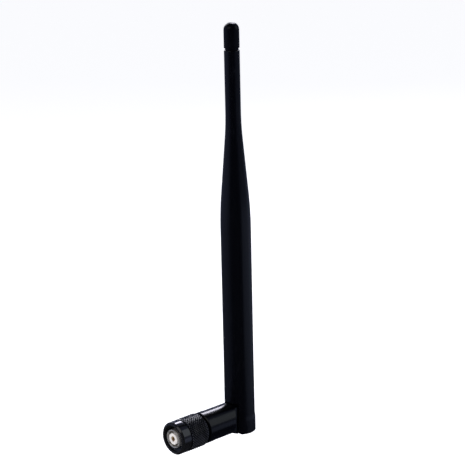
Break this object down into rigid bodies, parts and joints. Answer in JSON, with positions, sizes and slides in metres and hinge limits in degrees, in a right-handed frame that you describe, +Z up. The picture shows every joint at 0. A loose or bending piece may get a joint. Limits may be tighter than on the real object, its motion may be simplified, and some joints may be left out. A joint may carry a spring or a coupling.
{
  "type": "omnidirectional antenna",
  "caption": "Tilt-and-swivel whip antenna with a knurled threaded coaxial plug and a tapered black radome on a friction hinge, bent at a right angle.",
  "frame": {"origin": "on the plug's axis, in the plane of the coupling nut's front face", "axes": "-Y out of the plug's mouth, towards the mating jack; +X along the tilt hinge's pin; +Z up along the radome in the bent rest pose"},
  "size_m": [0.0146, 0.0458, 0.1806],
  "materials": {
    "shell": "satin-gloss black moulding",
    "nut": "black-plated brass, knurled",
    "contact_silver": "bright silver plate",
    "nickel": "nickel plate",
    "gold": "gold plate",
    "brass": "drawn brass",
    "copper": "copper wire",
    "steel": "spring steel",
    "ptfe": "white fluoropolymer",
    "gasket": "silicone rubber",
    "black_rubber": "nitrile rubber",
    "cable": "brown fluoropolymer jacket",
    "shrink": "heat-shrink tube",
    "foam": "closed-cell foam"
  },
  "bodies": {
    "connector": {"connector_body": "nickel", "outer_contact": "contact_silver", "insulator": "ptfe", "centre_contact": "gold", "face_gasket": "gasket", "nut_retaining_ring": "steel", "crimp_ferrule": "nickel", "swivel_o_ring": "black_rubber", "swivel_clip": "steel", "coax_in_base": "cable"},
    "nut": {"coupling_nut": "nut"},
    "base": {"base_housing": "shell", "hinge_pin_right": "steel", "hinge_pin_left": "steel", "hinge_washer_right": "steel", "hinge_washer_left": "steel", "coax_hinge": "cable"},
    "radome": {"radome": "shell", "tip_cap": "shell", "cable_plug": "ptfe", "coax_in_radome": "cable", "coax_shrink_tube": "shrink", "dipole_sleeve": "brass", "dipole_end_disc": "brass", "dipole_bush": "ptfe", "lower_radiator": "brass", "coil_and_whip": "copper", "rod_spacer_1": "foam", "rod_spacer_2": "foam", "whip_spacer_1": "foam", "whip_spacer_2": "foam"}
  },
  "joints": [
    {"name": "nut_spin", "type": "hinge", "parent": "connector", "child": "nut", "pos_m": [0, 0, 0], "axis": [0, 1, 0], "continuous": true},
    {"name": "swivel", "type": "hinge", "parent": "connector", "child": "base", "pos_m": [0, 0.039, 0], "axis": [0, 1, 0], "range_deg": [-180, 180]},
    {"name": "tilt", "type": "hinge", "parent": "base", "child": "radome", "pos_m": [0, 0.039, 0], "axis": [-1, 0, 0], "range_deg": [0, 90], "deforming": ["coax_hinge"]}
  ]
}
